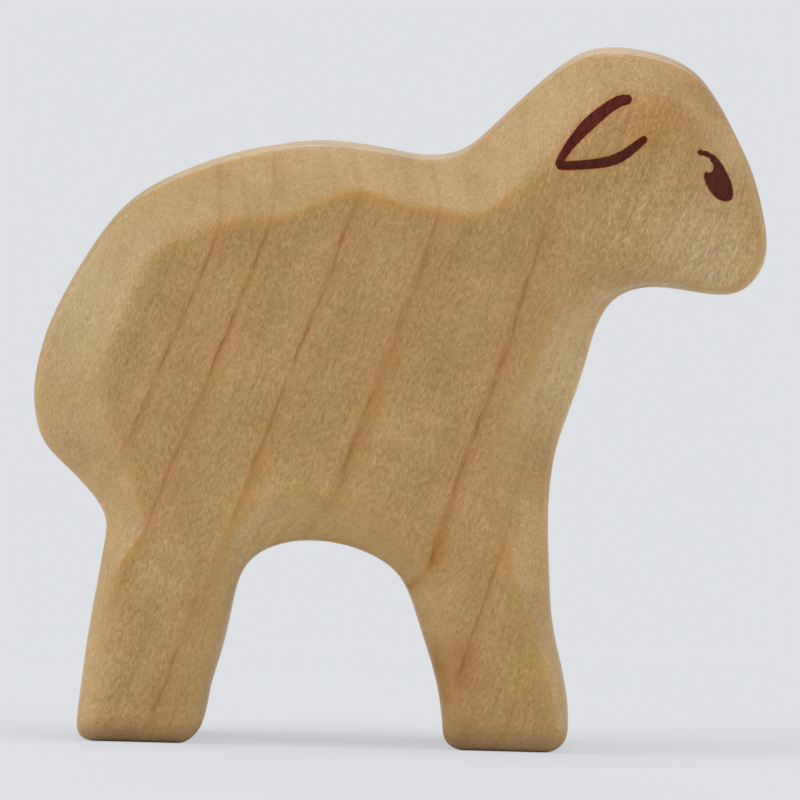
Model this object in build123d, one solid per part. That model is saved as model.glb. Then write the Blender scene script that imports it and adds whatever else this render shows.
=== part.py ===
from build123d import *
import math
import os

# A toy sheep sawn from one maple board and bevelled by hand, with its ears and eyes drawn on.
# It stands on Z = 0 with its head towards +X. The board's side faces look along -Y, which is
# the sheep's right, and along +Y. The origin is under the middle of its length, between the
# feet. Lengths are in millimetres.

figure_length = 72.0
figure_height = 69.2
board_thickness = 20.0

# How deep the knife bevels cut into the board's thickness, measured from a side face
body_bevel_depth = 4.6
head_bevel_depth = 4.2
leg_bevel_depth = 1.9

# Sanding rounds the crease between rim and bevel and the crease between bevel and side face.
# Where a bevel is narrow, neither crease takes more than this share of it.
rim_crease_radius = 1.0
face_crease_radius = 1.6
crease_limit_share = 0.42

# The dark stain of the drawn lines soaks in this far, and the brush is this wide at its widest
stain_depth = 0.35
ear_stroke_width = 1.3

# A stain's cutting prism reaches this far beyond the side face
overrun = 1.0

# The sheep's outline, as stations in order round it. Each row has the place of the rim and the
# place where the flat side face begins, both as shares of the figure's length (from its middle)
# and height (from the soles), and last a share of the bevel depth of that stretch.
rear_leg_back_shares = [
    (-0.406, 0.000, -0.389, 0.021, 0.58),
    (-0.425, 0.008, -0.402, 0.032, 0.62),
    (-0.429, 0.040, -0.394, 0.056, 0.70),
    (-0.4185, 0.142, -0.378, 0.146, 0.80),
    (-0.398, 0.281, -0.369, 0.266, 1.00),
]
rump_shares = [
    (-0.404, 0.334, -0.341, 0.308, 0.62),
    (-0.437, 0.374, -0.344, 0.326, 0.80),
    (-0.486, 0.426, -0.370, 0.399, 0.95),
    (-0.500, 0.485, -0.397, 0.468, 1.00),
    (-0.493, 0.549, -0.400, 0.531, 1.00),
    (-0.432, 0.688, -0.359, 0.654, 1.00),
    (-0.388, 0.752, -0.337, 0.703, 1.00),
    (-0.328, 0.797, -0.288, 0.734, 1.00),
    (-0.247, 0.830, -0.234, 0.749, 0.98),
]
back_shares = [
    (-0.163, 0.851, -0.163, 0.757, 1.00),
    (-0.090, 0.856, -0.065, 0.796, 0.92),
    (-0.015, 0.846, -0.007, 0.780, 0.92),
    (0.045, 0.840, 0.058, 0.770, 1.00),
]
neck_shares = [
    (0.081, 0.850, 0.098, 0.765, 1.04),
    (0.119, 0.882, 0.138, 0.789, 1.06),
    (0.172, 0.937, 0.180, 0.824, 1.04),
    (0.226, 0.982, 0.225, 0.884, 0.94),
]
crown_shares = [
    (0.300, 1.000, 0.306, 0.950, 0.88),
    (0.375, 0.982, 0.360, 0.948, 0.83),
    (0.414, 0.950, 0.394, 0.932, 0.80),
]
muzzle_shares = [
    (0.453, 0.885, 0.411, 0.902, 0.86),
    (0.484, 0.815, 0.412, 0.868, 0.95),
    (0.4995, 0.744, 0.401, 0.841, 1.05),
    (0.493, 0.695, 0.370, 0.819, 1.07),
    (0.468, 0.665, 0.349, 0.806, 1.05),
]
jaw_shares = [
    (0.431, 0.658, 0.327, 0.790, 1.00),
    (0.334, 0.666, 0.280, 0.738, 0.90),
    (0.298, 0.652, 0.258, 0.718, 0.88),
]
chest_shares = [
    (0.276, 0.623, 0.234, 0.691, 0.84),
    (0.255, 0.552, 0.203, 0.610, 0.87),
    (0.232, 0.478, 0.170, 0.526, 0.87),
    (0.215, 0.411, 0.135, 0.429, 0.78),
    (0.210, 0.341, 0.141, 0.353, 0.62),
]
front_leg_front_shares = [
    (0.213, 0.263, 0.159, 0.266, 1.10),
    (0.222, 0.168, 0.186, 0.171, 1.00),
    (0.245, 0.046, 0.221, 0.062, 0.74),
    (0.240, 0.015, 0.221, 0.036, 0.62),
    (0.215, 0.000, 0.204, 0.025, 0.58),
]
front_leg_back_shares = [
    (0.100, 0.000, 0.108, 0.046, 0.58),
    (0.078, 0.012, 0.095, 0.062, 0.66),
    (0.072, 0.035, 0.089, 0.084, 0.76),
    (0.059, 0.108, 0.080, 0.128, 0.90),
    (0.036, 0.181, 0.066, 0.185, 1.00),
    (0.004, 0.251, 0.042, 0.262, 1.15),
]
belly_shares = [
    (-0.036, 0.278, 0.000, 0.302, 0.54),
    (-0.071, 0.289, -0.045, 0.337, 0.62),
    (-0.108, 0.293, -0.103, 0.361, 0.66),
    (-0.156, 0.287, -0.171, 0.356, 0.62),
]
rear_leg_front_shares = [
    (-0.198, 0.261, -0.223, 0.313, 1.20),
    (-0.216, 0.216, -0.242, 0.240, 0.85),
    (-0.231, 0.139, -0.250, 0.150, 0.68),
    (-0.249, 0.065, -0.265, 0.076, 0.62),
    (-0.266, 0.014, -0.281, 0.034, 0.58),
    (-0.289, 0.000, -0.295, 0.023, 0.58),
]

# The stretches from the rear sole over the back and head to the front sole, and from the front
# sole under the belly back to the rear sole, each with its bevel depth
upper_stretches = [
    (rear_leg_back_shares, leg_bevel_depth),
    (rump_shares, body_bevel_depth),
    (back_shares, body_bevel_depth),
    (neck_shares, body_bevel_depth),
    (crown_shares, head_bevel_depth),
    (muzzle_shares, head_bevel_depth),
    (jaw_shares, head_bevel_depth),
    (chest_shares, body_bevel_depth),
    (front_leg_front_shares, leg_bevel_depth),
]
arch_stretches = [
    (front_leg_back_shares, leg_bevel_depth),
    (belly_shares, body_bevel_depth),
    (rear_leg_front_shares, leg_bevel_depth),
]

# The ear is two strokes that meet in a point at its root. A row is a place on the stroke's
# middle line, as shares of the figure's length and height, and a share of the stroke width.
ear_upper_stroke_shares = [
    (0.213, 0.847, 0.66),
    (0.221, 0.865, 0.68),
    (0.233, 0.883, 0.80),
    (0.253, 0.909, 0.96),
    (0.271, 0.926, 1.00),
    (0.289, 0.936, 0.96),
    (0.303, 0.938, 0.78),
]
ear_lower_stroke_shares = [
    (0.215, 0.844, 0.72),
    (0.238, 0.843, 0.74),
    (0.263, 0.846, 0.77),
    (0.283, 0.852, 0.81),
    (0.302, 0.862, 0.81),
    (0.317, 0.873, 0.73),
    (0.327, 0.881, 0.62),
]

# The eye is a drop with a lid line that hooks back over it. The outer curve runs from the lid
# line's tip over the drop to its lower point, and the inner curve comes back up to the tip.
eye_outer_shares = [
    (0.402, 0.865),
    (0.409, 0.868),
    (0.425, 0.860),
    (0.436, 0.846),
    (0.445, 0.829),
    (0.451, 0.808),
    (0.449, 0.797),
    (0.440, 0.795),
    (0.428, 0.801),
    (0.418, 0.814),
    (0.412, 0.830),
    (0.414, 0.837),
]
eye_inner_shares = [
    (0.414, 0.837),
    (0.421, 0.835),
    (0.425, 0.841),
    (0.423, 0.848),
    (0.417, 0.855),
    (0.410, 0.858),
    (0.402, 0.865),
]


def rounded_crease(corner, before, after, radius, room):
    """Start, middle and end of the round that sanding leaves at a corner of the profile.
    The corner's two flanks lead away from it along the unit vectors before and after."""
    half_turn = math.radians(180 - before.get_angle(after)) / 2
    setback = min(radius * math.tan(half_turn), room)
    inward = (before + after).normalized()
    middle = corner + inward * (setback * math.tan(half_turn / 2))
    return [corner + before * setback, middle, corner + after * setback]


def bevel_profile(rim_corner, face_corner):
    """Six points across the bevel at one station: the rim's crease, then the side face's."""
    across_rim = Vector(0, -1, 0)
    bevel = (face_corner - rim_corner).normalized()
    into_face = Vector(bevel.X, 0, bevel.Z).normalized()
    room = (face_corner - rim_corner).length * crease_limit_share
    rim_crease = rounded_crease(rim_corner, across_rim, bevel, rim_crease_radius, room)
    face_crease = rounded_crease(face_corner, bevel * -1, into_face, face_crease_radius, room)
    return rim_crease + face_crease


def bevel_profiles(stretches):
    """The profiles of all stations in some stretches, on the sheep's left side."""
    half = board_thickness / 2
    profiles = []
    for shares, bevel_depth in stretches:
        for rim_x, rim_z, face_x, face_z, cut in shares:
            rim_y = half - cut * bevel_depth
            rim_corner = Vector(rim_x * figure_length, rim_y, rim_z * figure_height)
            face_corner = Vector(face_x * figure_length, half, face_z * figure_height)
            profiles.append(bevel_profile(rim_corner, face_corner))
    return profiles


def station_parameters(profiles):
    """Curve parameters of the stations, by the way between them, halved between rim and face."""
    ways = [0.0]
    for before, after in zip(profiles, profiles[1:]):
        rim_way = (after[0] - before[0]).length
        face_way = (after[-1] - before[-1]).length
        ways.append(ways[-1] + (rim_way + face_way) / 2)
    return [way / ways[-1] for way in ways]


def stretch_edges(stretches, profiles, points, start_direction, end_direction):
    """A smooth curve through the points, one at each station, cut where two stretches meet.
    It leaves and reaches the sole lines in their own directions."""
    parameters = station_parameters(profiles)
    start_speed = (points[1] - points[0]).length / parameters[1]
    end_speed = (points[-1] - points[-2]).length / (1 - parameters[-2])
    tangents = [start_direction.normalized() * start_speed, end_direction.normalized() * end_speed]
    curve = Edge.make_spline(points, tangents=tangents, parameters=parameters, scale=False)
    edges = []
    first_station = 0
    for shares, bevel_depth in stretches:
        next_station = min(first_station + len(shares), len(points) - 1)
        edges.append(curve.trim(parameters[first_station], parameters[next_station]))
        first_station = next_station
    return edges


def numbered_points(profiles, number, side):
    """The same point of every profile, on one side of the board."""
    points = [profile[number] for profile in profiles]
    return [Vector(point.X, side * point.Y, point.Z) for point in points]


def outline(upper_profiles, arch_profiles, number, side):
    """The closed outline through one numbered point of every profile."""
    upper = numbered_points(upper_profiles, number, side)
    arch = numbered_points(arch_profiles, number, side)
    front_sole = Edge.make_line(upper[-1], arch[0])
    rear_sole = Edge.make_line(arch[-1], upper[0])
    upper_edges = stretch_edges(upper_stretches, upper_profiles, upper, rear_sole % 0, front_sole % 0)
    arch_edges = stretch_edges(arch_stretches, arch_profiles, arch, front_sole % 0, rear_sole % 0)
    return Wire(upper_edges + [front_sole] + arch_edges + [rear_sole])


def sawn_rim(rim_edges):
    """The sawn edge of the board from one rim to the other, with its two soles as planes."""
    rim = Shell.make_loft(rim_edges, ruled=True).faces().sort_by(Axis.Z)
    soles = [Face(sole.outer_wire()) for sole in rim[:2]]
    return soles + rim[2:]


def carved_board():
    """The whole sheep before it is drawn on: flat side faces, bevels, sanded creases, sawn rim."""
    upper_profiles = bevel_profiles(upper_stretches)
    arch_profiles = bevel_profiles(arch_stretches)
    numbers = range(len(upper_profiles[0]))
    skin = []
    rim_edges = []
    for side in (-1, 1):
        lines = [outline(upper_profiles, arch_profiles, number, side) for number in numbers]
        rim_start, rim_middle, bevel_start, bevel_end, face_middle, face_start = lines
        skin += Shell.make_loft([rim_start, rim_middle, bevel_start]).faces()
        skin += Shell.make_loft([bevel_start, bevel_end], ruled=True).faces()
        skin += Shell.make_loft([bevel_end, face_middle, face_start]).faces()
        skin.append(Face(face_start))
        rim_edges.append(rim_start)
    return Solid(Shell(skin + sawn_rim(rim_edges)))


def drawn_at(x_share, z_share):
    """A place in the drawing of a side face, in the XZ plane."""
    return Vector(x_share * figure_length, 0, z_share * figure_height)


def brush_stroke(shares):
    """One brush stroke with round ends, in the XZ plane."""
    middle = Edge.make_spline([drawn_at(x, z) for x, z, width in shares])
    upper_side = []
    lower_side = []
    for x, z, width in shares:
        point = drawn_at(x, z)
        along = middle.tangent_at(point)
        across = Vector(-along.Z, 0, along.X) * (width * ear_stroke_width / 2)
        upper_side.append(point + across)
        lower_side.append(point - across)
    start_cap = (middle @ 0) - (middle % 0) * ((upper_side[0] - lower_side[0]).length / 2)
    end_cap = (middle @ 1) + (middle % 1) * ((upper_side[-1] - lower_side[-1]).length / 2)
    return Face(Wire([
        Edge.make_spline(upper_side),
        Edge.make_three_point_arc(upper_side[-1], end_cap, lower_side[-1]),
        Edge.make_spline(lower_side[::-1]),
        Edge.make_three_point_arc(lower_side[0], start_cap, upper_side[0]),
    ]))


def ear_drawing():
    """The open ear: its two strokes joined at the root."""
    return brush_stroke(ear_upper_stroke_shares) + brush_stroke(ear_lower_stroke_shares)


def eye_drawing():
    """The drop of the eye with its lid line."""
    return Face(Wire([
        Edge.make_spline([drawn_at(x, z) for x, z in eye_outer_shares]),
        Edge.make_spline([drawn_at(x, z) for x, z in eye_inner_shares]),
    ]))


def stain_cutter(drawing, board, side):
    """What lies over the drawing, from outside the board down to the depth the stain reaches."""
    prism = extrude(drawing, amount=board_thickness / 2 + overrun, dir=(0, side, 0))
    unstained = board.moved(Location((0, -side * stain_depth, 0)))
    return prism - unstained


os.makedirs("parts", exist_ok=True)
board = carved_board()
cutters = []
for mark_name, drawing in (("ear_mark", ear_drawing()), ("eye_mark", eye_drawing())):
    for side, side_name in ((-1, "right"), (1, "left")):
        cutter = stain_cutter(drawing, board, side)
        cutters.append(cutter)
        export_step(board & cutter, "parts/" + mark_name + "_" + side_name + ".step")
export_step(board - cutters, "parts/carved_body.step")
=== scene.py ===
import math

import bmesh
import bpy
import numpy as np
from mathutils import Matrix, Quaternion, Vector, noise
from mathutils.bvhtree import BVHTree


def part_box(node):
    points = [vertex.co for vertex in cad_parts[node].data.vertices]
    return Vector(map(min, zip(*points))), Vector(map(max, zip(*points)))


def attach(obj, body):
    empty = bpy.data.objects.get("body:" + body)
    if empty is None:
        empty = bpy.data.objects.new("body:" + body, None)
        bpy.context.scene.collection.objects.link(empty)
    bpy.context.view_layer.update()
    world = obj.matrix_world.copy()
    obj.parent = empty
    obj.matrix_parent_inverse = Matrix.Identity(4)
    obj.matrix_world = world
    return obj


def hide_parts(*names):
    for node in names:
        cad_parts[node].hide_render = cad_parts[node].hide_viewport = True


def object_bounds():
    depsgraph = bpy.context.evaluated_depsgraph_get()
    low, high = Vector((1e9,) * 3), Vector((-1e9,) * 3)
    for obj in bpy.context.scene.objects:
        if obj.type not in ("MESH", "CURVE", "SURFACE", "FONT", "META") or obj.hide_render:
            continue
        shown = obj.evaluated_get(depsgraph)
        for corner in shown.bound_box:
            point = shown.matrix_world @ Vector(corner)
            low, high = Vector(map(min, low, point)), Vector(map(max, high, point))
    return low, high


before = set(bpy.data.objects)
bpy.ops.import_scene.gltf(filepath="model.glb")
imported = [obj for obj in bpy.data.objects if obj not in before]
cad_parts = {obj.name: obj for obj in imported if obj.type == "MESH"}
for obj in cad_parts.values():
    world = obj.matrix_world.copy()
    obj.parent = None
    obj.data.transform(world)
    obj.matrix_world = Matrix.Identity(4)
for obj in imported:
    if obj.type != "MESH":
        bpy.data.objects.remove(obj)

cad_low, cad_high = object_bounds()
mm = 0.001

# The sheep's body, head and legs are one piece of maple, sawn from a board.
# A knife has cut the bevels round both sides, and sandpaper has softened every crease by hand,
# so no face is quite flat and no edge quite straight.
drawn_marks = ["ear_mark_right", "ear_mark_left", "eye_mark_right", "eye_mark_left"]
mesh_size = 0.30 * mm
sanding_passes = 5
sanding_in = 0.50
sanding_out = -0.53
hand_wobble = [(9.0 * mm, 0.070 * mm), (3.6 * mm, 0.022 * mm)]
sole_height = 0.6 * mm
sharp_angle = math.radians(50)


def placed(name, mesh):
    """An object that shows a mesh."""
    piece = bpy.data.objects.new(name, mesh)
    bpy.context.scene.collection.objects.link(piece)
    return piece


def finished_mesh(piece):
    """The piece's mesh with its modifiers carried out and taken off."""
    solved = piece.evaluated_get(bpy.context.evaluated_depsgraph_get())
    mesh = bpy.data.meshes.new_from_object(solved)
    piece.modifiers.clear()
    piece.data = mesh
    return mesh


def points_of(mesh):
    """The mesh's points as an array of rows."""
    points = np.empty(len(mesh.vertices) * 3)
    mesh.vertices.foreach_get("co", points)
    return points.reshape(-1, 3)


def normals_of(mesh):
    """The mesh's point normals as an array of rows."""
    normals = np.empty(len(mesh.vertices) * 3)
    mesh.vertex_normals.foreach_get("vector", normals)
    return normals.reshape(-1, 3)


def moved(mesh, points):
    """Moves the mesh's points to these places."""
    mesh.vertices.foreach_set("co", points.ravel())
    mesh.update()


def evened(points, edges):
    """Every point at the middle of the points it shares an edge with."""
    starts, ends = np.concatenate([edges, edges[:, ::-1]]).T
    sums = [np.bincount(starts, weights=points[ends, axis]) for axis in range(3)]
    return (sums / np.bincount(starts)).T


def rising(value, start, reach, least=0, most=1):
    """Nothing at the start and one after the reach, held between least and most."""
    return np.clip((value - start) / reach, least, most)


whole_board = bmesh.new()
for node_name in ["carved_body"] + drawn_marks:
    whole_board.from_mesh(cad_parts[node_name].data)
bmesh.ops.remove_doubles(whole_board, verts=whole_board.verts, dist=mm / 1000)
board_mesh = bpy.data.meshes.new("maple_sheep")
whole_board.to_mesh(board_mesh)
whole_board.free()

sheep = placed("maple_sheep", board_mesh)
remesh = sheep.modifiers.new("even_mesh", "REMESH")
remesh.mode = "VOXEL"
remesh.voxel_size = mesh_size
board_mesh = finished_mesh(sheep)

edges = np.empty(len(board_mesh.edges) * 2, dtype=np.int64)
board_mesh.edges.foreach_get("vertices", edges)
edges = edges.reshape(-1, 2)
points = points_of(board_mesh)
for pull in [sanding_in, sanding_out] * sanding_passes:
    points += (evened(points, edges) - points) * pull

# The rump, the brow, the neck and the legs are rubbed rounder than the rest, where bevel and side
# face meet. Each pair says where that starts and the reach over which it grows, in millimetres.
rubbing_passes = 150
rump_rubbing = 0.22
front_leg_rubbing = 0.12
rear_leg_rubbing = 0.40
rump_along = (-17, -4)
rump_up = (26, 8)
brow_along = (10, 7)
brow_up = (47, 5)
legs_along = (0, -8)
legs_down = (17, -6)
above_soles = (2, 2)
from_middle = (6.5, 1.5)

x, y, z = points.T / mm
at_rump = rising(x, *rump_along, most=rump_rubbing) * rising(z, *rump_up)
at_brow = rising(x, *brow_along) * rising(z, *brow_up)
at_legs = rising(z, *legs_down) * rising(z, *above_soles)
at_legs *= rising(x, *legs_along, front_leg_rubbing, rear_leg_rubbing)
on_crease = rising(np.abs(y), *from_middle)
rubbing = (np.maximum(np.maximum(at_rump, at_brow), at_legs) * on_crease)[:, None]
rubbed_edges = edges[(rubbing[edges, 0] > 0).any(axis=1)]
rubbed_numbers, renumbered = np.unique(rubbed_edges, return_inverse=True)
rubbed_edges = renumbered.reshape(-1, 2)
rubbed_points = points[rubbed_numbers]
for step in range(rubbing_passes):
    rubbed_points += (evened(rubbed_points, rubbed_edges) - rubbed_points) * rubbing[rubbed_numbers]
points[rubbed_numbers] = rubbed_points
moved(board_mesh, points)

# The saw has left the back a little fuller at the shoulder blades and in the dip of the neck.
fuller_at = [-28, -22, -16, -9, -2, 4, 8, 13, 17, 23]
fuller_by = [-0.04, -0.03, 0.15, 0.07, 0.11, 0.15, 0.15, 0.03, 0.16, 0.0]
upward = np.clip(normals_of(board_mesh)[:, 2], 0, 1) * (points[:, 2] > cad_high.z / 2)
points[:, 2] += upward * np.interp(points[:, 0] / mm, fuller_at, fuller_by) * mm
moved(board_mesh, points)

wobble = np.zeros(len(points))
for wave, depth in hand_wobble:
    wobble += [depth * noise.noise(Vector(point) / wave) for point in points]
wobble *= np.clip(points[:, 2] / sole_height - 1, 0, 1)
points += normals_of(board_mesh) * wobble[:, None]
board_mesh.shade_smooth()
moved(board_mesh, points)

# Rubbing wears the creases a little more than the flats. How far each place stands out from what
# lies round it, and how far it is turned away from the board's side, are kept for the finish.
crease_reach = 10
crease_height = 0.12 * mm


def noted(mesh, name, numbers):
    """Keeps one number for each point on the mesh."""
    mesh.attributes.new(name, "FLOAT", "POINT").data.foreach_set("value", numbers)


softened = points
for step in range(crease_reach):
    softened = evened(softened, edges)
normals = normals_of(board_mesh)
noted(board_mesh, "stands_out", ((points - softened) * normals).sum(axis=1) / crease_height)
noted(board_mesh, "turned", 1 - np.abs(normals[:, 1]))

# Bare maple, sanded fine and handled. The rings run steeply up the board and slant through its
# thickness, each ending in a thin red-brown line with a warmer band beside it. Short pores and
# ray flecks follow the fibres, and soft pale and warm patches lie over it all.
fibre_slope = 0.373
fibre_lean = 0.332
ring_fan = 0.0022
ring_bend = -0.0005
ring_slant = 0.65
ring_places = [-66, -59, -53, -46, -38.4, -33.0, -24.6, -14.9, -2.7, 4.3, 10.9, 15.0, 22.5, 28, 35, 42, 50]
throat_height = 54
throat_along = (12, 26)
throat_swirl = 0.044

# How the rings wander: how far, over which lengths, with how much detail, and the noise's shift
ring_wiggles = [
    (1.6, (22, 14, 14), 1, 0),
    (0.55, (5, 3, 3), 2, 0),
    (0.42, (1.8, 0.7, 0.7), 1, 0),
    (0.30, (0.6, 0.25, 0.25), 1, 43),
]

# Where the rings' lines start and stop, from and to: across the rings, or in millimetres up and
# along the sheep. They are fainter ahead of the shoulder, in the rear leg and in the neck, and
# clearer in the front leg.
rump_rings = (-42, -40)
shoulder_rings = (4, -2)
ahead_of_shoulder = 0.5
high_rings = (-31, -27)
low_ring = -33
low_slope = 1.5
low_end_up = (17, 25)
rear_leg_up = (23, 16)
rear_leg_along = (-12, -17)
rear_leg_fade = -0.2
front_leg_up = (25, 18)
front_leg_along = (-2, 1)
front_leg_rings = (7.5, 6)
front_leg_gain = 0.8
neck_up = (49, 55)
neck_along = (8, 13)
neck_fade = -0.7

# The fine patterns in the wood: their lengths along the fibre, across the rings and along them, in
# millimetres, then how much detail they have, and the noise's shift
gap_pattern = ((2.4, 0.5, 1.2), 2, 7)
band_pattern = ((14, 3, 5), 2, 3)
pore_pattern = ((0.40, 0.13, 0.13), 1, 11)
grit_pattern = ((0.55, 0.29, 0.29), 1, 13)
fleck_pattern = ((0.34, 0.60, 0.075), 1, 17)
inner_ring_pattern = ((26, 0.55, 9), 2, 23)
patch_pattern = ((9, 4.5, 6), 2, 29)
ripple_pattern = ((1.1, 5, 5), 1, 31)
tint_pattern = ((4, 3, 3), 1, 37)
streak_pattern = ((3.4, 0.17, 0.7), 1, 41)

# How strongly each of them shows
line_width = 0.050
line_core = 0.002
gap_contrast = 4.0
gap_level = 0.56
band_falloff = 9
band_contrast = 2.2
band_level = 0.6
glow_width = 0.16
glow_strength = 0.6
middle_tone = 0.42
pore_strength = 1.15
fleck_strength = 0.95
inner_ring_strength = 0.6
patch_strength = 1.1
ripple_strength = 0.4
head_along = (14, 22)
body_streaks = 0.30
head_streaks = 0.75
side_contrast = 0.70
cut_contrast = -0.30
head_contrast = 0.15
side_band = 0.50
cut_band = -0.20
side_line = 0.90
cut_line = -0.55
line_level = 0.85
line_grit = 3.0
tint_edge = 0.18
cut_turn = (0.02, 0.14)

# The maple's colours, a painted sheen for the bevels, its wear, its darker soles and its surface
pale_maple = (0.446, 0.276, 0.112, 1)
deep_maple = (0.309, 0.172, 0.055, 1)
ring_band_colour = (0.335, 0.140, 0.022, 1)
ring_line_colour = (0.265, 0.103, 0.012, 1)
rubbed_colour = (0.420, 0.232, 0.065, 1)
rosy_tint = (1.02, 0.99, 1.03, 1)
straw_tint = (0.99, 1.00, 0.93, 1)
# Painted sheen: the paler, cooler tint of the bevels where the light glances off them
bevel_sheen_tint = (0.93, 1.00, 1.09, 1)
rubbed_crease = (0.05, 0.8)
inner_turn = (0.40, 0.12)
inner_wear = 0.55
outer_wear = 0.08
worn_up = (1.0, 5.0)
# The colour, reach and strength of the darkening towards the bottom of the soles
dark_sole_colour = (0.150, 0.078, 0.026, 1)
darkening_up = (2.8, 0.1)
darkening_patchiness = 3.0
dark_sole_strength = 0.40
plain_roughness = 0.44
fleck_roughness = 0.25
rubbed_roughness = -0.10
grit_relief = 3.4
line_relief = -0.4
wood_relief = 0.035 * mm
wood_ior = 1.42

# Paler, darker and warmer patches: a painted sheen on the chest, cheek and jaw, painted shade on the low rump
# and on the right of the brow and crown, darker bottoms to the feet, and other paler and darker places over
# the wood. Each: place along and up the sheep, reach, and tint
painted_light_and_tone_patches = [
    (-35, 43, 15, (0.89, 0.98, 1.04)),
    (-33, 28, 7, (0.83, 0.86, 0.90)),
    (-26, 51, 8, (0.92, 0.95, 0.96)),
    (-11, 28, 8, (1.04, 1.07, 1.06)),
    (-6, 21, 6, (1.10, 1.08, 1.00)),
    (-15, 14, 16, (1.00, 1.05, 1.08)),
    (31, 49, 9, (1.12, 1.32, 1.72)),
    (24, 53, 8, (1.10, 1.21, 1.28)),
    (18, 36, 8, (1.08, 1.25, 1.42)),
    (-13, 22, 7, (1.12, 1.17, 1.20)),
    (4, 8, 6, (0.83, 0.65, 0.46)),
    (10, 7, 8, (0.97, 0.94, 0.89)),
    (14, 8, 5, (1.06, 1.08, 1.03)),
    (13, 22, 8, (1.12, 1.12, 1.01)),
    (30, 64, 6, (0.92, 0.82, 0.70)),
    (26, 72, 9, (0.90, 0.75, 0.55)),
    (-1, 55, 5, (1.04, 0.98, 0.90)),
    (7, 0, 5, (0.82, 0.74, 0.65)),
    (-27, 0, 4, (0.88, 0.82, 0.76)),
    (12, 27, 3, (1.00, 0.92, 0.77)),
    (24, 62, 4, (1.00, 0.93, 0.80)),
    (20, 66, 5, (0.97, 0.93, 0.93)),
]


def plug(tree, socket, value):
    """Sets a socket to a value, or links another socket to it."""
    if isinstance(value, bpy.types.NodeSocket):
        tree.links.new(value, socket)
    else:
        socket.default_value = value


def calculated(tree, operation, *values, clamp=False):
    """The result of one sum."""
    node = tree.nodes.new("ShaderNodeMath")
    node.operation = operation
    node.use_clamp = clamp
    for socket, value in zip(node.inputs, values):
        plug(tree, socket, value)
    return node.outputs[0]


def product(tree, first, second, *others):
    """All of the values multiplied."""
    result = calculated(tree, "MULTIPLY", first, second)
    for other in others:
        result = calculated(tree, "MULTIPLY", result, other)
    return result


def scaled(tree, value, factor, plus, clamp=False):
    """A value times a factor, plus another value."""
    return calculated(tree, "MULTIPLY_ADD", value, factor, plus, clamp=clamp)


def stepped(tree, value, start, end):
    """0 up to start and 1 from end on, smooth between them."""
    node = tree.nodes.new("ShaderNodeMapRange")
    node.interpolation_type = "SMOOTHSTEP"
    plug(tree, node.inputs[0], value)
    plug(tree, node.inputs[1], start)
    plug(tree, node.inputs[2], end)
    return node.outputs[0]


def mixed(tree, share, first, second, blend="MIX"):
    """One colour over another, by a share."""
    node = tree.nodes.new("ShaderNodeMix")
    node.data_type = "RGBA"
    node.blend_type = blend
    plug(tree, node.inputs[0], share)
    plug(tree, node.inputs[6], first)
    plug(tree, node.inputs[7], second)
    return node.outputs[2]


def tinted(tree, share, colour, tint):
    """A colour with a tint laid over it, by a share."""
    return mixed(tree, share, colour, mixed(tree, 1.0, colour, tint, "MULTIPLY"))


def vector_sum(tree, operation, *values):
    """The node of one sum of vectors."""
    node = tree.nodes.new("ShaderNodeVectorMath")
    node.operation = operation
    for socket, value in zip(node.inputs, values):
        plug(tree, socket, value)
    return node


def place_in_mm(tree):
    """Where a point of the piece is, in millimetres."""
    coordinates = tree.nodes.new("ShaderNodeTexCoord")
    in_mm = vector_sum(tree, "SCALE", coordinates.outputs["Object"])
    in_mm.inputs["Scale"].default_value = 1 / mm
    return in_mm.outputs[0]


def kept_number(tree, name):
    """A number that is kept on the mesh."""
    node = tree.nodes.new("ShaderNodeAttribute")
    node.attribute_name = name
    return node.outputs["Fac"]


def grain(tree, place, lengths, detail=1.0, shift=0.0):
    """Noise about 0, drawn out to these lengths, in millimetres."""
    drawn = vector_sum(tree, "MULTIPLY_ADD", place, [1 / length for length in lengths], (shift, shift, shift))
    texture = tree.nodes.new("ShaderNodeTexNoise")
    plug(tree, texture.inputs["Vector"], drawn.outputs[0])
    texture.inputs["Scale"].default_value = 1
    texture.inputs["Detail"].default_value = detail
    return calculated(tree, "SUBTRACT", texture.outputs[0], 0.5)


def fibre_place(tree, in_mm):
    """The place measured along the fibre, across the rings and along them."""
    length = math.hypot(1, fibre_slope)
    fibre = Vector((fibre_slope, 0, 1)) / length
    across = Vector((1, ring_slant * length, -fibre_slope)).normalized()
    directions = tree.nodes.new("ShaderNodeCombineXYZ")
    for socket, direction in zip(directions.inputs, (fibre, across, fibre.cross(across))):
        plug(tree, socket, vector_sum(tree, "DOT_PRODUCT", in_mm, direction).outputs["Value"])
    return directions.outputs[0]


def across_rings(tree, x, y, z, place):
    """How far across the rings a place lies, in millimetres at the height of the soles."""
    depth = calculated(tree, "ADD", y, cad_high.y / mm)
    ring = scaled(tree, z, -fibre_lean, x)
    ring = scaled(tree, depth, ring_slant, ring)
    fan = scaled(tree, x, ring_fan, product(tree, z, ring_bend))
    ring = scaled(tree, z, fan, ring)
    below = calculated(tree, "MAXIMUM", calculated(tree, "SUBTRACT", throat_height, z), 0)
    swirl = product(tree, below, below, throat_swirl)
    ring = scaled(tree, stepped(tree, x, *throat_along), swirl, ring)
    for size, lengths, detail, shift in ring_wiggles:
        ring = scaled(tree, grain(tree, place, lengths, detail, shift), size, ring)
    return ring


def counted_rings(tree, ring):
    """The same, counted in rings."""
    first, last = ring_places[0], ring_places[-1]
    counted = tree.nodes.new("ShaderNodeFloatCurve")
    curve = counted.mapping.curves[0]
    for number, ring_place in enumerate(ring_places[1:-1], start=1):
        curve.points.new((ring_place - first) / (last - first), number / (len(ring_places) - 1))
    for point in curve.points:
        point.handle_type = "VECTOR"
    counted.mapping.update()
    from_first = calculated(tree, "SUBTRACT", ring, first)
    plug(tree, counted.inputs["Value"], calculated(tree, "DIVIDE", from_first, last - first))
    return product(tree, counted.outputs[0], len(ring_places) - 1)


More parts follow.
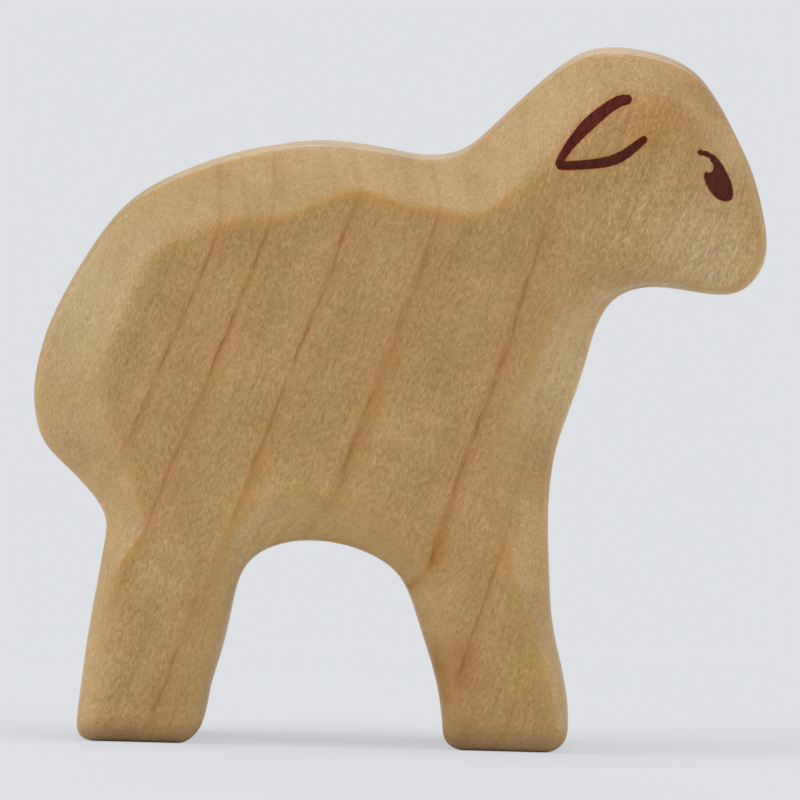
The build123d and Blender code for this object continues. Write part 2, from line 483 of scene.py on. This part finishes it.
def line_strength(tree, x, z, ring):
    """How clear the lines of the rings are: faint ahead of the shoulder, and none in the low rump."""
    past_rump = stepped(tree, ring, *rump_rings)
    behind_shoulder = product(tree, past_rump, stepped(tree, ring, *shoulder_rings))
    shoulder_share = scaled(tree, behind_shoulder, 1 - ahead_of_shoulder, ahead_of_shoulder)
    strength = product(tree, past_rump, shoulder_share)
    low_place = scaled(tree, calculated(tree, "SUBTRACT", ring, low_ring), low_slope, z)
    high = stepped(tree, ring, *high_rings)
    fade = calculated(tree, "MAXIMUM", high, stepped(tree, low_place, *low_end_up))
    rear_leg = product(tree, stepped(tree, z, *rear_leg_up), stepped(tree, x, *rear_leg_along))
    front_leg = product(tree, stepped(tree, z, *front_leg_up), stepped(tree, x, *front_leg_along))
    front_leg = product(tree, front_leg, stepped(tree, ring, *front_leg_rings))
    neck = product(tree, stepped(tree, z, *neck_up), stepped(tree, x, *neck_along))
    for part, change in ((rear_leg, rear_leg_fade), (front_leg, front_leg_gain), (neck, neck_fade)):
        fade = product(tree, fade, scaled(tree, part, change, 1))
    return product(tree, strength, fade)


def maple_group():
    """The maple's colour, roughness and surface height at any place in the board."""
    group = bpy.data.node_groups.new("maple", "ShaderNodeTree")
    for name, kind in (("Colour", "Color"), ("Roughness", "Float"), ("Height", "Float")):
        group.interface.new_socket(name, in_out="OUTPUT", socket_type="NodeSocket" + kind)
    in_mm = place_in_mm(group)
    axes = group.nodes.new("ShaderNodeSeparateXYZ")
    plug(group, axes.inputs[0], in_mm)
    x, y, z = axes.outputs
    place = fibre_place(group, in_mm)
    ring = across_rings(group, x, y, z, place)
    count = counted_rings(group, ring)

    # The line that ends a ring, broken here and there, and the warm band that fades beside it
    nearest = calculated(group, "PINGPONG", count, 0.5)
    broken = scaled(group, grain(group, place, *gap_pattern), gap_contrast, gap_level, clamp=True)
    strength = line_strength(group, x, z, ring)
    line = product(group, stepped(group, nearest, line_width, line_core), broken, strength)
    way = calculated(group, "FRACT", count)
    band = calculated(group, "POWER", calculated(group, "SUBTRACT", 1, way), band_falloff)
    band = scaled(group, stepped(group, nearest, glow_width, 0), glow_strength, band)
    patchy = scaled(group, grain(group, place, *band_pattern), band_contrast, band_level, clamp=True)
    band = calculated(group, "MULTIPLY", band, patchy, clamp=True)
    band = product(group, band, strength)

    # Pores, ray flecks, faint inner rings and broad patches
    pores = grain(group, place, *pore_pattern)
    grit = grain(group, place, *grit_pattern)
    flecks = grain(group, place, *fleck_pattern)
    inner_rings = grain(group, place, *inner_ring_pattern)
    patches = grain(group, place, *patch_pattern)
    ripples = grain(group, place, *ripple_pattern)
    streaks = grain(group, place, *streak_pattern)
    on_head = stepped(group, x, *head_along)
    tone = scaled(group, streaks, scaled(group, on_head, head_streaks, body_streaks), middle_tone)
    tone = scaled(group, pores, pore_strength, tone)
    tone = scaled(group, flecks, fleck_strength, tone)
    tone = scaled(group, inner_rings, inner_ring_strength, tone)
    tone = scaled(group, patches, patch_strength, tone)
    tone = scaled(group, ripples, ripple_strength, tone)
    tone = calculated(group, "ADD", tone, 0, clamp=True)
    colour = mixed(group, tone, pale_maple, deep_maple)

    # The knife's cuts are smoother than the sawn and sanded sides, so grain and lines are weaker there
    turned = kept_number(group, "turned")
    cut_share = stepped(group, turned, *cut_turn)
    contrast = scaled(group, cut_share, cut_contrast, side_contrast)
    contrast = scaled(group, on_head, head_contrast, contrast)
    colour = mixed(group, 1.0, colour, scaled(group, grit, contrast, 1), "MULTIPLY")
    band = product(group, band, scaled(group, cut_share, cut_band, side_band))
    colour = mixed(group, band, colour, ring_band_colour)
    line = product(group, line, scaled(group, cut_share, cut_line, side_line))
    line = product(group, line, scaled(group, grit, line_grit, line_level, clamp=True))
    colour = mixed(group, line, colour, ring_line_colour)
    straw_share = stepped(group, grain(group, place, *tint_pattern), -tint_edge, tint_edge)
    colour = mixed(group, 1.0, colour, mixed(group, straw_share, rosy_tint, straw_tint), "MULTIPLY")
    level = group.nodes.new("ShaderNodeCombineXYZ")
    plug(group, level.inputs[0], x)
    plug(group, level.inputs[2], z)
    # Painted light and tone: each patch tints the colour round its place, painted sheen and painted shade
    # among them
    for patch_x, patch_z, reach, patch_tint in painted_light_and_tone_patches:
        away = vector_sum(group, "DISTANCE", level.outputs[0], (patch_x, 0, patch_z))
        closeness = stepped(group, away.outputs["Value"], reach, 0)
        colour = tinted(group, closeness, colour, (*patch_tint, 1))
    # Painted sheen: the bevels, turned away from the side faces, take a paler, cooler tint where the lamps'
    # light glances off them
    colour = tinted(group, cut_share, colour, bevel_sheen_tint)

    # The creases are rubbed to a warmer colour, most beside the side faces, and the soles turn darker and
    # browner towards the bottom, in patches
    rubbed = stepped(group, kept_number(group, "stands_out"), *rubbed_crease)
    wear = scaled(group, stepped(group, turned, *inner_turn), inner_wear, outer_wear)
    rubbed_share = product(group, rubbed, wear, stepped(group, z, *worn_up))
    colour = mixed(group, rubbed_share, colour, rubbed_colour)
    sole_darkening = stepped(group, scaled(group, patches, darkening_patchiness, z), *darkening_up)
    colour = mixed(group, product(group, sole_darkening, dark_sole_strength), colour, dark_sole_colour)

    roughness = scaled(group, flecks, fleck_roughness, plain_roughness)
    roughness = scaled(group, rubbed, rubbed_roughness, roughness)
    height = calculated(group, "ADD", pores, flecks)
    height = scaled(group, grit, product(group, contrast, grit_relief), height)
    height = scaled(group, line, line_relief, height)
    output = group.nodes.new("NodeGroupOutput")
    for socket, value in zip(output.inputs, (colour, roughness, height)):
        plug(group, socket, value)
    return group


maple_nodes = maple_group()


def wood_material(name):
    """A material with a maple group and a shader that takes its surface relief from it."""
    material = bpy.data.materials.new(name)
    material.use_nodes = True
    tree = material.node_tree
    shader = tree.nodes["Principled BSDF"]
    wood = tree.nodes.new("ShaderNodeGroup")
    wood.node_tree = maple_nodes
    bump = tree.nodes.new("ShaderNodeBump")
    bump.inputs["Strength"].default_value = 1
    bump.inputs["Distance"].default_value = wood_relief
    plug(tree, bump.inputs["Height"], wood.outputs["Height"])
    plug(tree, shader.inputs["Normal"], bump.outputs[0])
    plug(tree, shader.inputs["Base Color"], wood.outputs["Colour"])
    plug(tree, shader.inputs["Roughness"], wood.outputs["Roughness"])
    shader.inputs["IOR"].default_value = wood_ior
    return material, tree, shader, wood


sanded_maple = wood_material("sanded_maple")[0]
board_mesh.materials.clear()
board_mesh.materials.append(sanded_maple)

# The ears and the eyes are drawn on with a dark red-brown stain, once on each side. It has soaked
# in a little way, and along the edge of each line it creeps out between the fibres.
stain_reach = 0.35 * mm
bleed_reach = 0.24 * mm
drawing_grid = 0.09 * mm
margin_cells = 2
cutter_height = 1.5
wall_tilt = 0.3
top_tilt = 0.5
eye_spread = 0.05
ear_spread = -0.03
stain_colour = (0.049, 0.0065, 0.0030, 1)
thin_stain_colour = (0.240, 0.062, 0.026, 1)
bleed_colour = (0.510, 0.170, 0.095, 1)
bleed_strength = 0.60
bleed_edge = (-0.21, -0.02)
line_edge = (-0.08, 0.03)
creep_pattern = ((0.16, 0.3, 0.30), 2, 3)
creep_strength = 0.16
thin_pattern = ((0.5, 1, 0.9), 3, 9)
thin_contrast = 0.5
thin_level = 0.1
stain_gloss = 0.12

# How far each of the ear's two lines sags where the hand drew it, at places along the sheep, and
# the slanting line that parts the upper from the lower, all in millimetres
upper_line_at = [14.9, 17.2, 17.9, 18.7, 19.5, 20.3, 21.0, 21.8, 22.6]
upper_line_sag = [0.20, 0.32, 0.46, 0.54, 0.52, 0.36, 0.22, 0.12, 0.00]
lower_line_at = [15.6, 16.4, 17.6, 18.8, 20.0, 21.2, 22.1, 22.9, 24.1]
lower_line_sag = [0.22, 0.14, 0.06, 0.08, 0.16, 0.24, 0.20, 0.12, 0.00]
parting_place = (15.6, 58.3)
parting_slope = 0.6
parting_width = 0.8

stained_maple, stain_tree, stain_shader, stain_wood = wood_material("stained_maple")
stain_place = place_in_mm(stain_tree)
creep = grain(stain_tree, stain_place, *creep_pattern)
soak = scaled(stain_tree, creep, creep_strength, kept_number(stain_tree, "inside_line"))
thin = grain(stain_tree, stain_place, *thin_pattern)
thin = scaled(stain_tree, thin, thin_contrast, thin_level, clamp=True)
line_colour = mixed(stain_tree, thin, stain_colour, thin_stain_colour)
bled = product(stain_tree, stepped(stain_tree, soak, *bleed_edge), bleed_strength)
bled_wood = mixed(stain_tree, bled, stain_wood.outputs["Colour"], bleed_colour)
drawn_colour = mixed(stain_tree, stepped(stain_tree, soak, *line_edge), bled_wood, line_colour)
plug(stain_tree, stain_shader.inputs["Base Color"], drawn_colour)
stain_shader.inputs["Specular IOR Level"].default_value = stain_gloss


def fresh_mesh(name, corners, faces):
    """A mesh with smooth faces, from points and faces."""
    mesh = bpy.data.meshes.new(name)
    mesh.from_pydata(corners, [], faces)
    mesh.validate()
    mesh.shade_smooth()
    return mesh


def as_drawn(corner):
    """A mark's corner where the hand drew it, with the sag of the ear's upper or lower line."""
    x = corner.x / mm
    z = corner.z / mm
    upper = np.interp(x, upper_line_at, upper_line_sag)
    lower = np.interp(x, lower_line_at, lower_line_sag)
    over_parting = z - parting_place[1] - parting_slope * (x - parting_place[0])
    share = rising(over_parting, 0, parting_width)
    return corner - Vector((0, 0, (upper * share + lower * (1 - share)) * mm))


def faces_towards(mesh, wanted):
    """A search tree of the mesh's faces whose normal passes a test."""
    corners = [as_drawn(vertex.co) for vertex in mesh.vertices]
    chosen = [tuple(face.vertices) for face in mesh.polygons if wanted(face.normal)]
    return BVHTree.FromPolygons(corners, chosen)


def seat_places(node_name, side, wood_tree):
    """A grid over the node: each place, its probe in the wood, the nearest wall and the gap to it."""
    node_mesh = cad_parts[node_name].data
    walls = faces_towards(node_mesh, lambda normal: abs(normal.y) < wall_tilt)
    tops = faces_towards(node_mesh, lambda normal: normal.y * side > top_tilt)
    low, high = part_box(node_name)
    start = Vector((low.x, 0, low.z)) - Vector((1, 0, 1)) * (bleed_reach + margin_cells * drawing_grid)
    across = int((high.x - low.x + 2 * bleed_reach) / drawing_grid) + 2 * margin_cells + 1
    upward = int((high.z - low.z + 2 * bleed_reach) / drawing_grid) + 2 * margin_cells + 1
    outside = Vector((0, side * cad_high.y * 2, 0))
    inwards = Vector((0, -side, 0))
    seat = {}
    for column in range(across):
        for row in range(upward):
            at = start + Vector((column, 0, row)) * drawing_grid
            probe = wood_tree.ray_cast(at + outside, inwards)[0] + inwards * (stain_reach / 2)
            wall_point = walls.find_nearest(probe)[0]
            gap = math.hypot(probe.x - wall_point.x, probe.z - wall_point.z)
            inside = tops.ray_cast(at + outside, inwards)[0] is not None
            seat[column, row] = (at, probe, wall_point, gap if inside else -gap)
    return across, upward, seat


def drawn_mark(name, node_name, side, wood_tree):
    """A closed solid flush with the wood: all within the bleed's reach of the node's outline.
    Also a cutter of the same outline, which makes its seat in the wood."""
    across, upward, seat = seat_places(node_name, side, wood_tree)
    spread = eye_spread if "eye" in node_name else ear_spread
    outside = Vector((0, side * cad_high.y * 2, 0))
    inwards = Vector((0, -side, 0))
    above_wood = outside / cutter_height
    kept = {}
    cells = []
    for column in range(across - 1):
        for row in range(upward - 1):
            ring = [(column, row), (column + 1, row), (column + 1, row + 1), (column, row + 1)]
            if all(seat[key][3] > -bleed_reach for key in ring):
                cells.append(ring)
                for key in ring:
                    kept.setdefault(key, len(kept))
    uses = {}
    for ring in cells:
        for first, second in zip(ring, ring[1:] + ring[:1]):
            uses[frozenset((first, second))] = uses.get(frozenset((first, second)), 0) + 1
    border = {key for pair, count in uses.items() if count == 1 for key in pair}
    flush = []
    lifted = []
    inside_line = []
    for key in kept:
        at, probe, wall_point, gap = seat[key]
        if key in border:
            away = Vector((probe.x - wall_point.x, 0, probe.z - wall_point.z)).normalized()
            at = Vector((wall_point.x, 0, wall_point.z)) + away * bleed_reach
            gap = -bleed_reach
        flush.append(wood_tree.ray_cast(at + outside, inwards)[0])
        lifted.append(at + above_wood)
        inside_line.append(gap / mm + spread)
    below = [point + inwards * stain_reach for point in flush]
    count = len(kept)
    order = 1 if side < 0 else -1
    faces = []
    for ring in cells:
        corners = [kept[key] for key in ring][::order]
        faces.append(corners)
        faces.append([corner + count for corner in corners[::-1]])
        for first, second in zip(ring, ring[1:] + ring[:1]):
            if uses[frozenset((first, second))] == 1:
                a = kept[first]
                b = kept[second]
                faces.append([b, a, a + count, b + count][::order])
    mark_mesh = fresh_mesh(name, flush + below, faces)
    noted(mark_mesh, "inside_line", inside_line * 2)
    mark_mesh.set_sharp_from_angle(angle=sharp_angle)
    mark_mesh.materials.append(stained_maple)
    cutter_mesh = fresh_mesh(name + "_seat", lifted + below, faces)
    return placed(name, mark_mesh), placed(name + "_seat", cutter_mesh)


board_faces = [tuple(face.vertices) for face in board_mesh.polygons]
wood_tree = BVHTree.FromPolygons([Vector(point) for point in points], board_faces)
for node_name in drawn_marks:
    side = -1 if node_name.endswith("right") else 1
    mark, seat_cutter = drawn_mark("stained_" + node_name, node_name, side, wood_tree)
    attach(mark, "root")
    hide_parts(node_name)
    cut = sheep.modifiers.new("seat", "BOOLEAN")
    cut.operation = "DIFFERENCE"
    cut.solver = "MANIFOLD"
    cut.object = seat_cutter
    board_mesh = finished_mesh(sheep)
    bpy.data.objects.remove(seat_cutter)

board_mesh.shade_smooth()
board_mesh.set_sharp_from_angle(angle=sharp_angle)
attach(sheep, "root")
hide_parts("carved_body")

# A pale tabletop that runs on into a plain background of the same colour.
# Near the feet it keeps the sheep's soft shadow, and further off it is only that colour.
backdrop_colour = (0.730, 0.745, 0.775, 1)
table_size = 2.4
shadow_share = 0.32
table_fade_start = 0.03
table_fade_end = 0.14
seen_tabletop = (0.515, 0.525, 0.548, 1)
lighting_tabletop = (0.80, 0.80, 0.80, 1)
ambient_light = (0.97, 0.985, 1.0, 1)
ambient_strength = 0.44

table_edge = table_size / 2
table_corners = [(x * table_edge, y * table_edge, 0) for x, y in ((-1, -1), (1, -1), (1, 1), (-1, 1))]
table = placed("tabletop", fresh_mesh("tabletop", table_corners, [(0, 1, 2, 3)]))
table_material = bpy.data.materials.new("tabletop")
table_material.use_nodes = True
tree = table_material.node_tree
tree.nodes.clear()


def joined(tree, share, first, second):
    """One shader over another, by a share."""
    node = tree.nodes.new("ShaderNodeMixShader")
    plug(tree, node.inputs[0], share)
    plug(tree, node.inputs[1], first)
    plug(tree, node.inputs[2], second)
    return node.outputs[0]


def coloured(tree, kind, colour):
    """A shader of one colour."""
    node = tree.nodes.new(kind)
    node.inputs["Color"].default_value = colour
    return node.outputs[0]


def shown(tree, kind, lighting, seen):
    """Ends the nodes with one shader that lights the sheep and another that the camera sees."""
    rays = tree.nodes.new("ShaderNodeLightPath")
    output = tree.nodes.new(kind)
    plug(tree, output.inputs["Surface"], joined(tree, rays.outputs["Is Camera Ray"], lighting, seen))


table_place = tree.nodes.new("ShaderNodeTexCoord")
middle_distance = vector_sum(tree, "LENGTH", table_place.outputs["Object"])
far = stepped(tree, middle_distance.outputs["Value"], table_fade_start, table_fade_end)
plain_share = scaled(tree, far, shadow_share, 1 - shadow_share)
shadowed = coloured(tree, "ShaderNodeBsdfDiffuse", seen_tabletop)
seen_table = joined(tree, plain_share, shadowed, coloured(tree, "ShaderNodeEmission", backdrop_colour))
bounced = coloured(tree, "ShaderNodeBsdfDiffuse", lighting_tabletop)
shown(tree, "ShaderNodeOutputMaterial", bounced, seen_table)
table.data.materials.append(table_material)

world = bpy.data.worlds.new("backdrop")
bpy.context.scene.world = world
world.use_nodes = True
tree = world.node_tree
tree.nodes.clear()
ambient = tree.nodes.new("ShaderNodeBackground")
ambient.inputs["Color"].default_value = ambient_light
ambient.inputs["Strength"].default_value = ambient_strength
seen_backdrop = coloured(tree, "ShaderNodeBackground", backdrop_colour)
shown(tree, "ShaderNodeOutputWorld", ambient.outputs[0], seen_backdrop)

# Six square soft boxes: one overhead, two high and two low at the sides, and a weak one behind.
# Each hangs in the air at its own place and faces the middle of the sheep.
soft_box_width = 0.50
soft_boxes = [
    ("overhead", (0.0, 0.05, 0.80), 2.95),
    ("left_high", (-0.65, -0.22, 0.50), 3.9),
    ("right_high", (0.65, -0.22, 0.50), 2.2),
    ("left_side", (-0.78, 0.0, 0.20), 1.6),
    ("right_side", (0.78, 0.0, 0.20), 1.2),
    ("behind", (0.0, 0.80, 0.50), 1.1),
]
middle = (cad_low + cad_high) / 2
for name, spot, power in soft_boxes:
    lamp = bpy.data.lights.new(name, "AREA")
    lamp.shape = "SQUARE"
    lamp.size = soft_box_width
    lamp.energy = power
    box = bpy.data.objects.new(name, lamp)
    box.location = spot
    box.rotation_euler = (middle - box.location).to_track_quat("-Z", "Y").to_euler()
    bpy.context.scene.collection.objects.link(box)

# The camera stands far off at the sheep's right side, a little above it, and is tipped slightly.
# Its long lens shows the sheep with almost no perspective.
lens_length = 1200
film_width = 36
frame_width = 79.246 * mm
aim = Vector((0.199, 0, 34.03)) * mm
elevation = math.radians(3.3)
roll = math.radians(1.485)

camera_data = bpy.data.cameras.new("camera")
camera_data.lens = lens_length
camera_data.sensor_width = film_width
camera = bpy.data.objects.new("camera", camera_data)
bpy.context.scene.collection.objects.link(camera)
distance = frame_width * lens_length / film_width
camera.location = aim + Vector((0, -math.cos(elevation), math.sin(elevation))) * distance
camera.rotation_mode = "QUATERNION"
looking = (aim - camera.location).to_track_quat("-Z", "Y")
camera.rotation_quaternion = looking @ Quaternion((0, 0, 1), roll)
bpy.context.scene.camera = camera
bpy.context.scene.view_settings.view_transform = "Standard"
